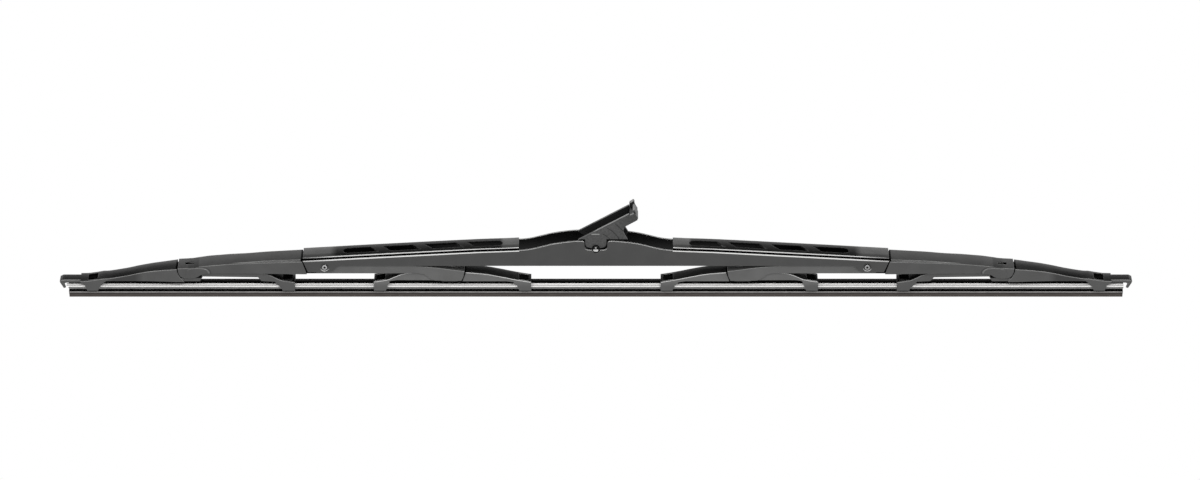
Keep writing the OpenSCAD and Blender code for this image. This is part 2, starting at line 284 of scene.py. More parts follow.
def buildChannelFaces():
    # which faces of a channel look up, and which look into it
    group, inside, outside = newGroup(
        "channelFaces",
        [("Top From", "NodeSocketFloat", 0.5), ("Top To", "NodeSocketFloat", 0.8),
         ("Inside From", "NodeSocketFloat", -0.3), ("Inside To", "NodeSocketFloat", -0.6)],
        [("Top", "NodeSocketFloat"), ("Inside", "NodeSocketFloat")])
    ny, nz = axes(group, coordinate(group, "Normal"))[1:]
    x, y, z = axes(group, coordinate(group, "Object"))
    away = product(group, ny, maths(group, "SIGN", y))
    top = rising(group, nz, inside.outputs["Top From"], inside.outputs["Top To"])
    within = rising(group, away, inside.outputs["Inside From"], inside.outputs["Inside To"])
    group.links.new(top, outside.inputs["Top"])
    group.links.new(within, outside.inputs["Inside"])
    return group


def buildPressedCrown():
    # a shallow barrel across the blade
    group, inside, outside = newGroup(
        "pressedCrown", [("Radius", "NodeSocketFloat", 30.0), ("Centre", "NodeSocketFloat", 0.0)],
        [("Height", "NodeSocketFloat")])
    x, y, z = place(group)
    across = maths(group, "SUBTRACT", y, inside.outputs["Centre"])
    rise = maths(group, "DIVIDE", product(group, across, across), product(group, inside.outputs["Radius"], -2.0))
    group.links.new(rise, outside.inputs["Height"])
    return group


edgeWear = buildEdgeWear()
surfaceGrain = buildGrain()
polishedBend = buildRoundedBendHighlight()
channelFaces = buildChannelFaces()
pressedCrown = buildPressedCrown()


def bumpFrom(tree, shader, height, strength=1.0, size=mm, normal=None):
    bump = tree.nodes.new("ShaderNodeBump")
    bump.inputs["Strength"].default_value = strength
    bump.inputs["Distance"].default_value = size
    tree.links.new(height, bump.inputs["Height"])
    if normal is not None:
        tree.links.new(normal, bump.inputs["Normal"])
    tree.links.new(bump.outputs["Normal"], shader.inputs["Normal"])


# The black paint of the pressings

blackPaint = {
    "bare": (0.14, 0.14, 0.14, 1), "wearWidth": 0.25, "wearAmount": 0.3, "grainScale": 1600.0, "texture": 0.004,
    "cloud": (0.88, 1.12), "rough": (0.28, 0.4), "ior": 1.55,
    # painted shade inside a channel: how much of the coat's grey is kept, and how little it mirrors; and the grey of
    # the painted shade in a gap
    "well": 0.12, "hollow": 0.6, "sunk": (0.002, 0.002, 0.002, 1),
}

paintedParts = {
    # coat: grey of the walls; top: how much of it the tops keep, the rest painted shade
    # bend: grey of the painted highlight on the bends; amount: how much of it shows; patchy: how uneven it is; round:
    # bend radius
    # crown: radius across the tops, and its middle; inner: the paler end nearer the middle (from, to, grey)
    # end, start: where the bridge's top is painted paler, as painted light (from, to, share of the coat); across: the
    # same across it
    # shade: a darker stretch (axis, from, to, soft edge, share of the coat); lengths in mm
    "main_bridge": {"coat": 0.026, "top": 0.3, "bend": 0.6, "amount": 1.0, "patchy": 0.08, "round": 0.36,
                    "crown": (30.0, 6.0), "end": (147.0, 151.0, 2.2), "start": (54.5, 52.5, 2.4),
                    "across": (-3.5, -1.5, 0.8, 1.5)},
    "secondary": {"coat": 0.04, "top": 0.9, "bend": 0.21, "amount": 0.85, "patchy": 0.3, "round": 0.6,
                  "crown": (90.0, 8.5), "inner": (150.0, 162.0, 0.07)},
    "tertiary_inner": {"coat": 0.086, "top": 0.08, "bend": 0.62, "amount": 1.0, "patchy": 0.2, "round": 0.7,
                       "crown": (26.0, 7.0), "shade": ("Z", -40.0, -24.5, 3.0, 0.6)},
    "tertiary_outer": {"coat": 0.044, "top": 0.3, "bend": 0.24, "amount": 0.9, "patchy": 0.35, "round": 0.7,
                       "crown": (28.0, 5.0), "shade": ("X", 262.0, 274.0, 5.0, 0.25)},
}

bandLook = {
    # the raised band and the wall below it; heights from the pin's centre, on two straight runs (place, height, slope)
    "steep": (65.8, -1.5, -0.0578), "gentle": (65.8, -1.5, -0.0407), "rise": 1.4, "from": (43.4, 43.6),
    "bandHalf": 6.5, "wallHalf": 7.7, "rim": 0.15, "line": (0.4, 0.6), "soft": 0.05,
    # the painted shade on the step: how far it reaches onto the band, and its lower edge; the painted highlight lines'
    # fading: from, to, share left
    "stepInset": 0.06, "stepLow": (-0.6, -0.5), "fade": (150.0, 165.0, 0.45),
}


def bandMasks(tree):
    # the painted highlight lines along the band's edge and the wall's top, the painted shade on the step between them,
    # and the band's flat
    p = bandLook
    soft, half, outer = p["soft"], p["bandHalf"], p["wallHalf"] - p["rim"]
    x, y, z = place(tree)
    along, across = absolute(tree, x), absolute(tree, y)

    def run(start, height, slope):
        return maths(tree, "ADD", product(tree, along, slope), height - start * slope)

    above = maths(tree, "SUBTRACT", z, maths(tree, "MINIMUM", run(*p["steep"]), run(*p["gentle"])))
    bandLine, wallLine = p["line"]
    onBand = product(tree, spanMask(tree, across, half - p["rim"], half, soft),
                     rising(tree, above, p["rise"] - bandLine - soft, p["rise"] - bandLine))
    onWall = product(tree, rising(tree, across, outer - soft, outer), rising(tree, above, -wallLine - soft, -wallLine))
    step = product(tree, spanMask(tree, across, half - p["stepInset"], outer, soft), rising(tree, above, *p["stepLow"]))
    there = rising(tree, along, *p["from"])
    first, last, left = p["fade"]
    lines = product(tree, union(tree, onBand, onWall), there, remap(tree, along, first, last, 1.0, left))
    return lines, product(tree, step, there), product(tree, falling(tree, across, half, half + soft), there)


seamShadeLook = {
    # painted shade on what shows through the gaps between two levers: from, to, widest half width, lowest height
    "secondary": [(159.0, 167.4, 6.62, -40.0), (228.5, 233.3, 1.33, -40.0), (79.0, 84.6, 1.63, -40.0)],
    "tertiary_outer": [(229.0, 238.6, 5.45, -19.2), (224.0, 235.0, 5.4, -19.2), (171.5, 184.0, 4.2, -40.0)],
    "tertiary_inner": [(77.5, 86.0, 5.2, -16.0)],
}
seamSoft = {"along": 0.2, "across": 0.05, "up": 0.1}


def seamShadeMask(tree, spans):
    x, y, z = place(tree)
    along, across = absolute(tree, x), absolute(tree, y)
    seams = [product(tree, spanMask(tree, along, low, high, seamSoft["along"]),
                     falling(tree, across, half, half + seamSoft["across"]),
                     rising(tree, z, lowest, lowest + seamSoft["up"]))
             for low, high, half, lowest in spans]
    return union(tree, *seams)


pinSeat = {"reach": (3.4, 3.8), "top": (-1.4, -1.0)}


def pinSeatMask(tree):
    # the lower half of the pin's hole, whose edge gets no painted highlight
    x, y, z = place(tree)
    return product(tree, falling(tree, distance(tree, x, z), *pinSeat["reach"]), falling(tree, z, *pinSeat["top"]))


endSeam = {"at": (76.4, -20.4), "slope": -0.36, "from": -0.85, "to": 2.0, "soft": 0.1}


def endSeamMask(tree):
    # the slanted shadow line on an inner claw lever, beside the secondary lever's end
    p = endSeam
    x, y, z = place(tree)
    slant = product(tree, maths(tree, "SUBTRACT", z, p["at"][1]), p["slope"])
    offset = maths(tree, "SUBTRACT", absolute(tree, x), maths(tree, "ADD", slant, p["at"][0]))
    return spanMask(tree, offset, p["from"], p["to"], p["soft"])


bossLook = {
    # a long pressed boss in the secondary lever's wall: its middle (x either way, z), half length and half height,
    # and how far it rises; edge, crest and fold are counted as shares of its outline
    "middle": (226.3, -16.6), "long": 6.8, "high": 4.2, "rise": 0.5, "corner": 3.0, "edge": (1.25, 0.75),
    # the painted highlight on the crest and the painted shade in the fold run round its upper half, up to its outer
    # end: from, to, strength, grey
    "crest": (0.8, 1.1, 0.75, 0.12), "fold": (1.25, 1.6, 0.8, 0.008), "upper": (0.0, 1.0), "outerEnd": (3.5, 6.0),
    "soft": 0.1,
}


def bossForm(tree):
    # its height, and the masks and greys of the painted highlight on its crest and the painted shade in its fold
    p = bossLook
    x, y, z = place(tree)
    along = maths(tree, "SUBTRACT", absolute(tree, x), p["middle"][0])
    up = maths(tree, "SUBTRACT", z, p["middle"][1])
    length, height = (maths(tree, "POWER", absolute(tree, maths(tree, "DIVIDE", value, size)), p["corner"])
                      for value, size in ((along, p["long"]), (up, p["high"])))
    reach = maths(tree, "ADD", length, height)
    shown = product(tree, rising(tree, up, *p["upper"]), falling(tree, along, *p["outerEnd"]))
    lines = [(product(tree, shown, spanMask(tree, reach, low, high, p["soft"]), strength), grey(tone))
             for low, high, strength, tone in (p["crest"], p["fold"])]
    body = remap(tree, reach, *p["edge"], 0.0, 1.0, "SMOOTHSTEP")
    return product(tree, body, p["rise"]), lines


def shadeCoat(tree, look, coat):
    x, y, z = place(tree)
    along = absolute(tree, x)
    if "inner" in look:
        low, high, paler = look["inner"]
        coat = colourMix(tree, falling(tree, along, low, high), coat, grey(paler))
    if "shade" in look:
        axis, low, high, soft, left = look["shade"]
        there = spanMask(tree, z if axis == "Z" else along, low, high, soft)
        coat = colourMix(tree, product(tree, there, 1.0 - left), coat, grey(0.0))
    return coat


def topShare(tree, look):
    # how much of the coat's grey the tops keep, as painted shade; on the bridge it is painted paler towards its ends
    # and its far side
    if "end" not in look:
        return look["top"]
    x, y, z = place(tree)
    along = absolute(tree, x)
    ends = [remap(tree, along, low, high, look["top"], paler) for low, high, paler in (look["end"], look["start"])]
    return product(tree, union(tree, *ends), remap(tree, y, *look["across"]))


def makeBlackPaint(kin, look):
    material, tree, shader = newMaterial("satinBlack" + kin.title().replace("_", ""))
    p = blackPaint
    wear = placeGroup(tree, edgeWear, {"Coat": grey(look["coat"]), "Bare": p["bare"], "Width": p["wearWidth"] * mm,
                                       "Amount": p["wearAmount"]})
    grain = placeGroup(tree, surfaceGrain, {"Scale": p["grainScale"]})
    bend = placeGroup(tree, polishedBend, {"Patchiness": look["patchy"], "Radius": look["round"] * mm})
    crown = placeGroup(tree, pressedCrown, {"Radius": look["crown"][0], "Centre": look["crown"][1]})
    faces = placeGroup(tree, channelFaces, {})
    # painted shade on the tops, by how much of the coat's grey they keep
    onTop = product(tree, faces.outputs["Top"], maths(tree, "SUBTRACT", topShare(tree, look), 1.0))
    # painted shade on the faces that look into a channel
    inWell = remap(tree, faces.outputs["Inside"], 0.0, 1.0, 1.0, p["well"])
    kept = product(tree, fromNoise(tree, grain.outputs["Cloud"], *p["cloud"]), maths(tree, "ADD", onTop, 1.0), inWell)
    colour = colourMix(tree, 1.0, shadeCoat(tree, look, wear.outputs["Color"]), kept, "MULTIPLY")

    # painted highlight along the bends that face up and outwards
    paintedHighlight = product(tree, bend.outputs["Mask"], look["amount"])
    if kin == "main_bridge":
        # the bridge's band: painted highlight lines, and painted shade on the step between them
        lines, step, flat = bandMasks(tree)
        paintedHighlight = product(tree, paintedHighlight, inverse(tree, union(tree, flat, pinSeatMask(tree))))
        paintedShade = product(tree, step, inverse(tree, lines))
        colour = colourMix(tree, lines, colourMix(tree, paintedHighlight, colour, grey(look["bend"])), grey(look["bend"]))
    else:
        # painted shade where the gaps between levers show the surface beneath
        paintedShade = seamShadeMask(tree, seamShadeLook[kin])
        colour = colourMix(tree, paintedHighlight, colour, grey(look["bend"]))
    if kin == "tertiary_inner":
        paintedShade = union(tree, paintedShade, endSeamMask(tree))
    # painted shade: the gaps and the faces inside a channel turn near black
    paintedShade = union(tree, paintedShade, product(tree, faces.outputs["Inside"], p["hollow"]))
    colour = colourMix(tree, paintedShade, colour, p["sunk"])

    texture = product(tree, grain.outputs["Height"], p["texture"])
    height = maths(tree, "ADD", crown.outputs["Height"], texture)
    if kin == "secondary":
        raised, bossLightAndShade = bossForm(tree)
        height = maths(tree, "ADD", height, raised)
        # painted highlight on the boss's crest, painted shade in its fold
        for mask, tone in bossLightAndShade:
            colour = colourMix(tree, mask, colour, tone)
    tree.links.new(colour, shader.inputs["Base Color"])
    tree.links.new(paintedShade, shader.inputs["Metallic"])  # the painted shade is dark metal, so that it doesn't mirror the surroundings
    tree.links.new(fromNoise(tree, grain.outputs["Height"], *p["rough"]), shader.inputs["Roughness"])
    shader.inputs["IOR"].default_value = p["ior"]
    bumpFrom(tree, shader, height, normal=bend.outputs["Normal"])
    return material


railSteel = {
    # a near-white matt base with little metal: the steel's bright reflection is painted into its colour
    "base": (0.97, 0.96, 0.945, 1), "tone": (0.88, 1.08), "rough": (0.3, 0.45), "metallic": 0.08,
    "grainScale": 3000.0, "stretch": (0.02, 1, 1), "texture": 0.0015,
    # the painted shade line along the outer corner: its inner side, its lowest height above the wiping edge, its soft
    # edge
    "corner": (3.55, 8.87, 0.03), "line": (0.07, 0.07, 0.07, 1), "lean": 0.5,  # lean: slope of the crowned top
}


def makeRailSteel():
    material, tree, shader = newMaterial("rolledStainless")
    p = railSteel
    grain = placeGroup(tree, surfaceGrain, {"Scale": p["grainScale"], "Stretch": p["stretch"]})
    across, up = sectionPlace(tree)
    near, low, soft = p["corner"]
    # a painted shade line along the rail's outer top corner
    corner = product(tree, rising(tree, across, near, near + soft), rising(tree, up, low, low + soft))
    colour = colourMix(tree, corner, p["base"], p["line"])
    tone = fromNoise(tree, grain.outputs["Height"], *p["tone"])
    tree.links.new(colourMix(tree, 1.0, colour, tone, "MULTIPLY"), shader.inputs["Base Color"])
    tree.links.new(fromNoise(tree, grain.outputs["Height"], *p["rough"]), shader.inputs["Roughness"])
    shader.inputs["Metallic"].default_value = p["metallic"]
    texture = product(tree, grain.outputs["Height"], p["texture"])
    bumpFrom(tree, shader, maths(tree, "ADD", product(tree, across, -p["lean"]), texture))
    return material


fastenerLooks = {
    # centre of the end (x, z), domed radius, dimple radius, radius beyond which it is dark, in mm; the dark is painted
    # shade round the rivet's head and in its dimple, and a painted dark reflection over the pin's end
    # glints: painted highlights on the dark end: middle (x, z), half length, half height
    "pin_steel": {"name": "brightPlatedPin", "base": (0.7, 0.7, 0.69, 1), "rough": 0.22, "centre": (0.0, 0.0),
                  "dome": 2.5, "dimple": 0.0, "rim": 0.0, "glints": [(-0.1, 1.0, 0.25, 0.2), (-0.15, -0.7, 1.3, 0.6)]},
    "rivet_steel": {"name": "dullRivet", "base": (0.42, 0.42, 0.42, 1), "rough": 0.34, "centre": (153.9, -11.1),
                    "dome": 2.3, "dimple": 0.7, "rim": 3.0, "glints": []},
}
fastenerSteel = {"grainScale": 2500.0, "tone": (0.8, 1.15), "rough": (-0.06, 0.08), "texture": 0.003,
                 "dark": (0.012, 0.012, 0.012, 1), "rimSoft": 0.1, "dimpleSoft": 0.2, "glintSoft": 0.2}


def makeFastenerSteel(look):
    material, tree, shader = newMaterial(look["name"])
    p = fastenerSteel
    grain = placeGroup(tree, surfaceGrain, {"Scale": p["grainScale"]})
    x, y, z = place(tree)
    away = maths(tree, "SUBTRACT", absolute(tree, x), look["centre"][0])
    reach = distance(tree, away, maths(tree, "SUBTRACT", z, look["centre"][1]))
    # painted shade beyond the rim and in the dimple; on the pin it covers the whole end as a painted dark reflection
    dark = rising(tree, reach, look["rim"] - p["rimSoft"], look["rim"] + p["rimSoft"])
    if look["dimple"]:
        soft = p["dimpleSoft"]
        dark = union(tree, dark, falling(tree, reach, look["dimple"] - soft, look["dimple"] + soft))
    # painted glints: bright spots cut out of the painted dark
    for gx, gz, long, high in look["glints"]:
        soft = p["glintSoft"]
        spot = product(tree, aroundMask(tree, x, gx, long, soft), aroundMask(tree, z, gz, high, soft))
        dark = maths(tree, "MINIMUM", dark, inverse(tree, spot))
    tone = fromNoise(tree, grain.outputs["Cloud"], *p["tone"])
    colour = colourMix(tree, 1.0, look["base"], tone, "MULTIPLY")
    tree.links.new(colourMix(tree, dark, colour, p["dark"]), shader.inputs["Base Color"])
    rough = [look["rough"] + change for change in p["rough"]]
    tree.links.new(fromNoise(tree, grain.outputs["Height"], *rough), shader.inputs["Roughness"])
    shader.inputs["Metallic"].default_value = 1.0
    dome = maths(tree, "DIVIDE", product(tree, reach, reach), -2.0 * look["dome"])
    bumpFrom(tree, shader, maths(tree, "ADD", dome, product(tree, grain.outputs["Height"], p["texture"])))
    return material


bushLook = {"base": (0.015, 0.015, 0.015, 1), "pale": (0.022, 0.022, 0.022, 1), "rough": (0.35, 0.48),
            "grainScale": 700.0, "spread": 0.15, "bump": 0.1, "texture": 0.04, "specular": 0.2}


def makeBushPlastic():
    material, tree, shader = newMaterial("smoothMoulding")
    p = bushLook
    grain = placeGroup(tree, surfaceGrain, {"Scale": p["grainScale"]})
    mottle = fromNoise(tree, grain.outputs["Height"], 0.0, 1.0, p["spread"])
    tree.links.new(colourMix(tree, mottle, p["base"], p["pale"]), shader.inputs["Base Color"])
    tree.links.new(fromNoise(tree, grain.outputs["Cloud"], *p["rough"]), shader.inputs["Roughness"])
    shader.inputs["Specular IOR Level"].default_value = p["specular"]
    bumpFrom(tree, shader, grain.outputs["Height"], p["bump"], p["texture"] * mm)
    return material


adapterLook = {
    # greys of the textured sides, of the painted shade inside the channel, and of the painted highlights on its near
    # and far rims and the end wall's top
    "base": (0.026, 0.026, 0.026, 1), "pale": (0.052, 0.052, 0.051, 1), "inside": (0.006, 0.006, 0.006, 1),
    "rim": (0.19, 0.19, 0.187, 1), "farRim": (0.09, 0.09, 0.088, 1), "endTop": (0.2, 0.2, 0.197, 1),
    "grainScale": 900.0, "spread": 0.15, "texture": 0.014, "rough": (0.4, 0.53),
    # its tilt at rest in degrees, the channel's half width, where the end wall starts and the rims show, in mm
    "tilt": 29.5, "channel": (4.95, 5.05), "endWall": (28.7, 28.9), "rimHeight": (10.3, 11.3),
    "facesUp": (0.75, 0.92), "facesSide": (0.1, 0.3), "nearToFar": (-1.0, 1.0),
    "tip": (17.0, 26.0, 0.62),  # the sides turn darker towards the raised end: from, to, share of the coat
    # moulded rings around the pin, their grooves darkened with painted shade: radius, and the slopes between which each
    # shows; ringFrom: least x for a slope
    "rings": [(9.9, 0.8, 2.3), (14.4, 0.42, 1.95), (18.9, 0.74, 1.35)], "ringHalf": 0.13, "ringSoft": 0.1,
    "ringFrom": 0.1, "ringDepth": 0.25, "ringGrey": (0.008, 0.008, 0.008, 1),
    # the short ledge on the cheek: its length, and its lit face and the shadow under it (low, high, strength, grey)
    "ledgeSpan": (-2.3, 1.8, 0.5), "ledgeSoft": 0.2,
    "ledge": [(8.75, 9.35, 0.8, (0.22, 0.22, 0.215, 1)), (8.05, 8.55, 0.6, (0.015, 0.015, 0.015, 1))],
    # the shadow gap round the lobe in the bridge's notch: middle (x, z), half width, depth, the cheek's lower edge,
    # the lobe's squareness, and how far out the gap's side and its shoulders reach, as shares of the lobe
    "gap": {"middle": (-0.1, 4.6), "wide": 6.5, "deep": 4.45, "edge": 6.05, "corner": 3.5, "side": (0.8, 2.0, 0.05),
            "shoulder": (0.75, 0.8), "soft": 0.1},
}


def lobeGapShadow(tree, x, z):
    g = adapterLook["gap"]
    middleX, middleZ = g["middle"]
    wide = absolute(tree, maths(tree, "DIVIDE", maths(tree, "SUBTRACT", x, middleX), g["wide"]))
    deep = maths(tree, "MAXIMUM", maths(tree, "DIVIDE", maths(tree, "SUBTRACT", middleZ, z), g["deep"]), 0.0)
    lobe = maths(tree, "ADD", maths(tree, "POWER", wide, g["corner"]), maths(tree, "POWER", deep, g["corner"]))
    shoulder = product(tree, rising(tree, lobe, *g["shoulder"]), spanMask(tree, z, middleZ, g["edge"], g["soft"]))
    gap = union(tree, spanMask(tree, lobe, *g["side"]), shoulder)
    return product(tree, gap, falling(tree, z, g["edge"] - g["soft"], g["edge"]))


def makeAdapterPlastic():
    material, tree, shader = newMaterial("texturedMoulding")
    p = adapterLook
    grain = placeGroup(tree, surfaceGrain, {"Scale": p["grainScale"]})
    faces = placeGroup(tree, channelFaces, {})
    x, y, z = place(tree)
    turn = math.radians(p["tilt"])
    aloft = vectorMaths(tree, "DOT_PRODUCT", coordinate(tree, "Normal"), (-math.sin(turn), 0, math.cos(turn)))
    faceUp = rising(tree, aloft, *p["facesUp"])
    along = maths(tree, "ADD", product(tree, x, math.cos(turn)), product(tree, z, math.sin(turn)))
    outer = rising(tree, absolute(tree, y), *p["channel"])
    atEnd = rising(tree, along, *p["endWall"])
    side = product(tree, falling(tree, absolute(tree, aloft), *p["facesSide"]), outer,
                   inverse(tree, faces.outputs["Inside"]))

    colour = colourMix(tree, fromNoise(tree, grain.outputs["Height"], 0.0, 1.0, p["spread"]), p["base"], p["pale"])
    # painted shade inside the channel
    hollow = product(tree, inverse(tree, outer), inverse(tree, atEnd))
    colour = colourMix(tree, union(tree, hollow, faces.outputs["Inside"]), colour, p["inside"])
    first, last, left = p["tip"]
    colour = colourMix(tree, remap(tree, along, first, last, 0.0, 1.0 - left), colour, grey(0.0))
    # painted highlights on the up-facing rims and the end wall's top
    rim = colourMix(tree, rising(tree, y, *p["nearToFar"]), p["rim"], p["farRim"])
    colour = colourMix(tree, product(tree, faceUp, outer, rising(tree, z, *p["rimHeight"])), colour, rim)
    colour = colourMix(tree, product(tree, faceUp, atEnd), colour, p["endTop"])

    # moulded rings, darkened as painted shade in their grooves
    reach = distance(tree, x, z)
    slope = maths(tree, "DIVIDE", z, maths(tree, "MAXIMUM", x, p["ringFrom"]))
    soft = p["ringSoft"]
    rings = [product(tree, aroundMask(tree, reach, radius, p["ringHalf"], soft), spanMask(tree, slope, low, high, soft))
             for radius, low, high in p["rings"]]
    rings = product(tree, union(tree, *rings), side)
    colour = colourMix(tree, rings, colour, p["ringGrey"])
    span = product(tree, spanMask(tree, x, *p["ledgeSpan"]), side)
    for low, high, strength, tone in p["ledge"]:
        line = product(tree, spanMask(tree, z, low, high, p["ledgeSoft"]), span, strength)
        colour = colourMix(tree, line, colour, tone)
    # painted shadow on the cheek, round the lobe in the bridge's notch
    shadow = product(tree, lobeGapShadow(tree, x, z), side)

    tree.links.new(colourMix(tree, shadow, colour, p["inside"]), shader.inputs["Base Color"])
    # the painted shadow is dark metal, so that it doesn't mirror the surroundings
    tree.links.new(shadow, shader.inputs["Metallic"])
    tree.links.new(fromNoise(tree, grain.outputs["Cloud"], *p["rough"]), shader.inputs["Roughness"])
    texture = product(tree, grain.outputs["Height"], p["texture"])
    bumpFrom(tree, shader, maths(tree, "SUBTRACT", texture, product(tree, rings, p["ringDepth"])))
    return material


rubberLook = {
    "head": (0.02, 0.02, 0.019, 1), "tone": (0.8, 1.2), "rough": (0.52, 0.72), "specular": 0.1,
    "grainScale": 1800.0, "stretch": (0.12, 1, 1), "bump": 0.3, "texture": 0.03, "soft": 0.05,
    "sunk": ("neck", "crown"),  # the bands that are painted shade
    # bands of the section: heights above the wiping edge, distances from the middle, and their colour; shoulder,
    # neckTop and bead are paler as painted light, neck and crown dark as painted shade
    "bands": {
        "lip": (-1.0, 2.5, 0.0, 6.0, (0.058, 0.05, 0.046, 1)),
        "lipUnder": (2.5, 3.55, 0.0, 6.0, (0.024, 0.021, 0.02, 1)),
        "shoulder": (3.5, 4.5, 2.12, 6.0, (0.25, 0.243, 0.238, 1)),
        "neckTop": (5.2, 7.2, 0.0, 1.98, (0.26, 0.26, 0.256, 1)),
        "neck": (4.1, 5.15, 0.0, 2.12, (0.002, 0.002, 0.002, 1)),
        "bead": (6.9, 8.25, 3.5, 6.0, (0.19, 0.19, 0.187, 1)),
        "crown": (8.1, 12.0, 0.0, 1.75, (0.003, 0.003, 0.003, 1)),
    },
}


def makeRubber():
    material, tree, shader = newMaterial("graphitedRubber")
    p = rubberLook
    across, up = sectionPlace(tree)
    grain = placeGroup(tree, surfaceGrain, {"Scale": p["grainScale"], "Stretch": p["stretch"]})
    colour = p["head"]
    sunk = []
    # the section's bands, with painted light on some and painted shade on others
    for band, (low, high, near, far, tone) in p["bands"].items():
        there = product(tree, spanMask(tree, up, low, high, p["soft"]), spanMask(tree, across, near, far, p["soft"]))
        colour = colourMix(tree, there, colour, tone)
        if band in p["sunk"]:
            sunk.append(there)
    tree.links.new(union(tree, *sunk), shader.inputs["Metallic"])
    tone = fromNoise(tree, grain.outputs["Height"], *p["tone"])
    tree.links.new(colourMix(tree, 1.0, colour, tone, "MULTIPLY"), shader.inputs["Base Color"])
    tree.links.new(fromNoise(tree, grain.outputs["Cloud"], *p["rough"]), shader.inputs["Roughness"])
    shader.inputs["Specular IOR Level"].default_value = p["specular"]
    bumpFrom(tree, shader, grain.outputs["Height"], p["bump"], p["texture"] * mm)
    return material


finishes = {
    "black_paint": {kin: makeBlackPaint(kin, look) for kin, look in paintedParts.items()},
    "rail_steel": makeRailSteel(),
    "pin_steel": makeFastenerSteel(fastenerLooks["pin_steel"]),
    "rivet_steel": makeFastenerSteel(fastenerLooks["rivet_steel"]),
    "adapter_plastic": makeAdapterPlastic(),
    "bush_plastic": makeBushPlastic(),
    "refill_rubber": makeRubber(),
}
print("materials made")


# The solids keep their shape and get their finish and rounded edges

edgeRounding = {"adapter": 0.3, "rivet_left": 0.2, "rivet_right": 0.2, "pivot_pin": 0.3}  # in mm
solidEdges = {"weld": 0.002, "segments": 2, "flat": 0.6, "rounded": 38.0, "smooth": 25.0}  # mm, and degrees


def buildSmoothing():
    # curves shade smooth and folds stay sharp
    group = bpy.data.node_groups.new("smoothCurves", "GeometryNodeTree")
    group.interface.new_socket(name="Geometry", in_out="INPUT", socket_type="NodeSocketGeometry")
    group.interface.new_socket(name="Geometry", in_out="OUTPUT", socket_type="NodeSocketGeometry")
    inside = group.nodes.new("NodeGroupInput")
    outside = group.nodes.new("NodeGroupOutput")
    angle = group.nodes.new("GeometryNodeInputMeshEdgeAngle")
    shallow = maths(group, "LESS_THAN", angle.outputs["Unsigned Angle"], math.radians(solidEdges["smooth"]))
    faces = group.nodes.new("GeometryNodeSetShadeSmooth")
    faces.domain = "FACE"
    faces.inputs["Shade Smooth"].default_value = True
    edges = group.nodes.new("GeometryNodeSetShadeSmooth")
    edges.domain = "EDGE"
    group.links.new(inside.outputs[0], faces.inputs["Geometry"])
    group.links.new(faces.outputs[0], edges.inputs["Geometry"])
    group.links.new(shallow, edges.inputs["Shade Smooth"])
    group.links.new(edges.outputs[0], outside.inputs[0])
    return group


smoothCurves = buildSmoothing()


def dressSolid(name, slotName):
    solid = nodes[name]
    solid.data.materials.clear()
    material = finishes[slotName]
    if slotName == "black_paint":
        material = material[name.replace("_left", "").replace("_right", "")]
    solid.data.materials.append(material)
    weld = solid.modifiers.new("weld", "WELD")
    weld.merge_threshold = solidEdges["weld"] * mm
    if name in edgeRounding:
        flat = solid.modifiers.new("flatten", "DECIMATE")
        flat.decimate_type = "DISSOLVE"
        flat.angle_limit = math.radians(solidEdges["flat"])
        edges = solid.modifiers.new("roundEdges", "BEVEL")
        edges.width = edgeRounding[name] * mm
        edges.segments = solidEdges["segments"]
        edges.limit_method = "ANGLE"
        edges.angle_limit = math.radians(solidEdges["rounded"])
    smooth = solid.modifiers.new("smoothCurves", "NODES")
    smooth.node_group = smoothCurves
    normals = solid.modifiers.new("normals", "WEIGHTED_NORMAL")
    normals.keep_sharp = True


for part in frame["record"]["subparts"]:
    dressSolid(part["node"], part["material_slot"])
print("solids dressed")


# The refill is swept in stretches, each listed with the lever that carries it

stretches = {
    # name: (from, to, body at the start of the bend, body at its end, where the bend starts, where it ends)
    "EndLeft": (-300, -148.7, "yoke_outer_left", "lever_left", -198.1, -64.8),
    "InnerLeft": (-148.7, -40.15, "yoke_inner_left", "lever_left", -96.8, -251.2),
    "MiddleLeft": (-40.15, 0, "lever_left", "bridge", -132, 202),
    "MiddleRight": (0, 40.15, "lever_right", "bridge", 132, -202),
    "InnerRight": (40.15, 148.7, "yoke_inner_right", "lever_right", 96.8, 251.2),
    "EndRight": (148.7, 300, "yoke_outer_right", "lever_right", 198.1, 64.8),
}
refill = {"half": 300, "railStart": -301, "ring": 4.0, "sharp": 35.0}  # ring: mm between two rings of points


def arc(cy, cz, radius, fromDeg, toDeg, steps=4):
    turns = [math.radians(fromDeg + (toDeg - fromDeg) * k / steps) for k in range(steps + 1)]
    return [(cy + radius * math.cos(t), cz + radius * math.sin(t)) for t in turns]


def sweep(name, outline, start, end, material, capStart, capEnd, ring=refill["ring"]):
    # outline in mm from the wiping edge, as (y, z), closed and counter-clockwise seen from +X
    count = max(2, math.ceil((end - start) / ring))
    verts = []
    for i in range(count + 1):
        x = start + (end - start) * i / count
        verts += [(x * mm, y * mm, wipingEdge + z * mm) for y, z in outline]
    n = len(outline)
    faces = [(i * n + k, i * n + (k + 1) % n, (i + 1) * n + (k + 1) % n, (i + 1) * n + k)
             for i in range(count) for k in range(n)]
    if capStart:
        faces.append(tuple(reversed(range(n))))
    if capEnd:
        faces.append(tuple(range(count * n, (count + 1) * n)))
    mesh = bpy.data.meshes.new(name)
    mesh.from_pydata(verts, [], faces)
    mesh.update()
    for poly in mesh.polygons:
        poly.use_smooth = len(poly.vertices) == 4
    mesh.set_sharp_from_angle(angle=math.radians(refill["sharp"]))
    section = mesh.uv_layers.new(name="section")
    for loop in mesh.loops:
        y, z = outline[loop.vertex_index % n]
        section.data[loop.index].uv = (0.5 + y / sectionSize, z / sectionSize)
    mesh.materials.append(material)
    piece = bpy.data.objects.new(name, mesh)
    bpy.context.scene.collection.objects.link(piece)
    return piece


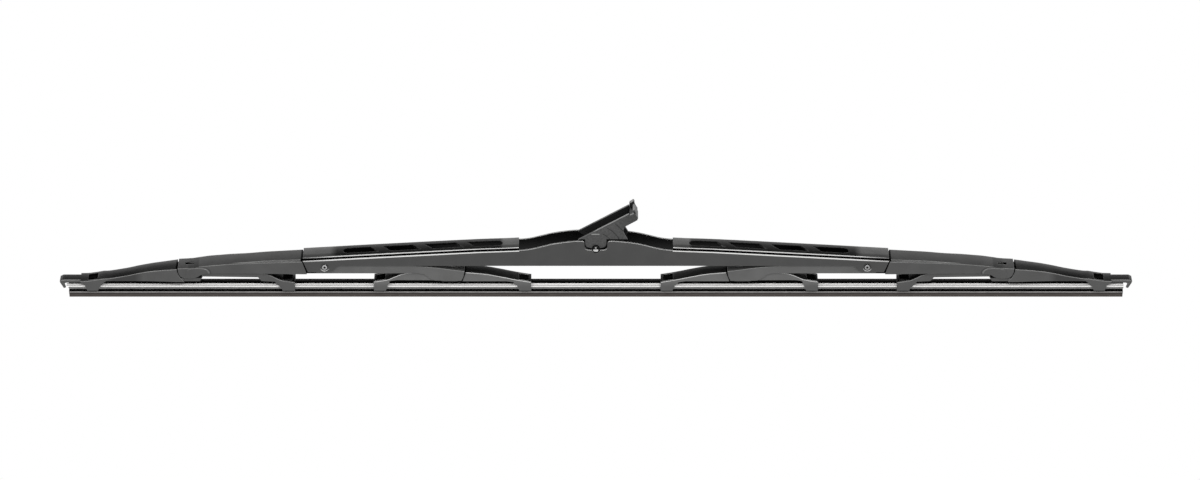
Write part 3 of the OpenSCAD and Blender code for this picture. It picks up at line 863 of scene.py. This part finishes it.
def mirroredOutline(half):
    # half runs up the +Y side from the bottom; the other side comes back down
    return half + [(-y, z) for y, z in reversed(half)]


refillOutline = mirroredOutline(
    [(0.3, 0.0), (0.42, 0.5), (0.62, 1.2), (1.05, 2.2), (1.7, 3.1), (2.2, 3.65)]  # lip
    + arc(2.05, 3.95, 0.3, -35, 70) + arc(1.9, 4.45, 0.2, 40, 100)  # shoulder
    + [(1.0, 4.8), (0.8, 5.1), (0.8, 6.8), (1.05, 7.08)]  # neck
    + arc(3.6, 7.4, 0.3, -90, 0) + arc(3.6, 7.9, 0.3, 0, 90)  # bead
    + [(1.4, 8.2), (1.4, 9.15), (1.5, 9.2)] + arc(1.2, 10.36, 0.32, 0, 90))  # the rails' groove and the crown

railOutline = {"inner": 1.4, "outer": 4.0, "low": 8.2, "high": 9.15, "round": 0.1}


def railSection(side):
    r = railOutline["round"]
    a, b, c, d = (railOutline[k] for k in ("inner", "outer", "low", "high"))
    ring = arc(b - r, c + r, r, -90, 0, 2) + arc(b - r, d - r, r, 0, 90, 2) + arc(a + r, d - r, r, 90, 180, 2)
    ring += arc(a + r, c + r, r, 180, 270, 2)
    return ring if side > 0 else [(-y, z) for y, z in reversed(ring)]


# A tongue inside each joint of a strand fills the gap that opens there when the levers flex:
# its ends from the joint and its rings in mm, and its section's size against the strand's
tongue = {"from": -3.0, "to": 2.2, "ring": 1.3, "narrower": 0.97}


def shrunk(outline):
    cy = sum(y for y, z in outline) / len(outline)
    cz = sum(z for y, z in outline) / len(outline)
    return [(cy + (y - cy) * tongue["narrower"], cz + (z - cz) * tongue["narrower"]) for y, z in outline]


def layRefill():
    strands = [("rubber", refillOutline, finishes["refill_rubber"], "refill_rubber", "wiping_rubber"),
               ("railFront", railSection(-1), finishes["rail_steel"], "rail_steel", "rail_front"),
               ("railBack", railSection(1), finishes["rail_steel"], "rail_steel", "rail_back")]
    half = refill["half"]
    for strand, outline, material, slotName, node in strands:
        made = []
        for where, (x0, x1, first, second, bendFrom, bendTo) in stretches.items():
            start = refill["railStart"] if strand != "rubber" and x0 == -half else x0
            bent = [sweep(strand + where, outline, start, x1, material, x0 == -half, x1 == half)]
            if x1 < half:
                bent.append(sweep(strand + "Tongue" + where, shrunk(outline), x1 + tongue["from"], x1 + tongue["to"],
                                  material, True, True, tongue["ring"]))
            for piece in bent:
                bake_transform(piece)
            made += bent
        for piece in made:
            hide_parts(node)


layRefill()
print("refill laid")


# Camera, ground and light

# degrees, mm for lens and sensor, metres for the rest
shot = {"elevation": 26.0, "lens": 180.0, "sensor": 36.0, "frameWidth": 0.6808, "aim": (0.0023, 0.0, 0.0023),
        "clip": (0.05, 60.0)}


def placeCamera():
    camera = bpy.data.cameras.new("photoCamera")
    camera.lens = shot["lens"]
    camera.sensor_width = shot["sensor"]
    holder = bpy.data.objects.new("photoCamera", camera)
    bpy.context.scene.collection.objects.link(holder)
    away = shot["frameWidth"] * shot["lens"] / shot["sensor"]
    e = math.radians(shot["elevation"])
    back = Vector((0, -math.cos(e), math.sin(e)))
    holder.location = Vector(shot["aim"]) + back * away
    holder.rotation_mode = "QUATERNION"
    holder.rotation_quaternion = (-back).to_track_quat("-Z", "Y")
    camera.clip_start, camera.clip_end = shot["clip"]
    bpy.context.scene.camera = holder


ground = {"half": 6.0, "below": 0.25, "grey": (0.8, 0.8, 0.8, 1)}  # metres, and how far under the blade


def seenAsBackground(tree):
    path = tree.nodes.new("ShaderNodeLightPath")
    return union(tree, *(path.outputs["Is %s Ray" % kind] for kind in ("Camera", "Glossy", "Transmission")))


def placeFloor():
    mesh = bpy.data.meshes.new("paleFloor")
    h = ground["half"]
    z = wipingEdge - ground["below"]
    mesh.from_pydata([(-h, -h, z), (h, -h, z), (h, h, z), (-h, h, z)], [], [(0, 1, 2, 3)])
    floor = bpy.data.objects.new("paleFloor", mesh)
    bpy.context.scene.collection.objects.link(floor)
    material = bpy.data.materials.new("paleFloor")
    material.use_nodes = True
    tree = material.node_tree
    tree.nodes.clear()
    output = tree.nodes.new("ShaderNodeOutputMaterial")
    mix = tree.nodes.new("ShaderNodeMixShader")
    matt = tree.nodes.new("ShaderNodeBsdfDiffuse")
    matt.inputs["Color"].default_value = ground["grey"]
    white = tree.nodes.new("ShaderNodeEmission")
    white.inputs["Strength"].default_value = 1.0
    for k, value in enumerate((seenAsBackground(tree), matt.outputs[0], white.outputs[0])):
        tree.links.new(value, mix.inputs[k])
    tree.links.new(mix.outputs[0], output.inputs["Surface"])
    mesh.materials.append(material)


# what lights the object, what it mirrors high up, and between which heights white turns into that
studio = {"sky": 0.85, "mirrorHigh": 0.05, "horizon": (0.44, 0.66)}


def makeWorld():
    world = bpy.data.worlds.new("studio")
    bpy.context.scene.world = world
    world.use_nodes = True
    tree = world.node_tree
    tree.nodes.clear()
    output = tree.nodes.new("ShaderNodeOutputWorld")
    background = tree.nodes.new("ShaderNodeBackground")
    tree.links.new(background.outputs[0], output.inputs["Surface"])
    x, y, z = axes(tree, coordinate(tree, "Generated"))
    mirror = remap(tree, z, *studio["horizon"], 1.0, studio["mirrorHigh"])
    path = tree.nodes.new("ShaderNodeLightPath")
    lit = colourMix(tree, path.outputs["Is Glossy Ray"], (studio["sky"],) * 3 + (1,), mirror)
    seen = union(tree, path.outputs["Is Camera Ray"], path.outputs["Is Transmission Ray"])
    tree.links.new(colourMix(tree, seen, lit, (1, 1, 1, 1)), background.inputs["Color"])


strip = {"at": (0.0, -1.06, 1.06), "size": (2.2, 0.2), "watts": 15.0}  # metres


def placeLamp():
    light = bpy.data.lights.new("longStrip", "AREA")
    light.shape = "RECTANGLE"
    light.size, light.size_y = strip["size"]
    light.energy = strip["watts"]
    holder = bpy.data.objects.new("longStrip", light)
    bpy.context.scene.collection.objects.link(holder)
    holder.location = strip["at"]
    holder.rotation_mode = "QUATERNION"
    holder.rotation_quaternion = (-Vector(strip["at"])).to_track_quat("-Z", "Y")


placeCamera()
placeFloor()
makeWorld()
placeLamp()
bpy.context.scene.view_settings.view_transform = "Standard"
print("studio set")
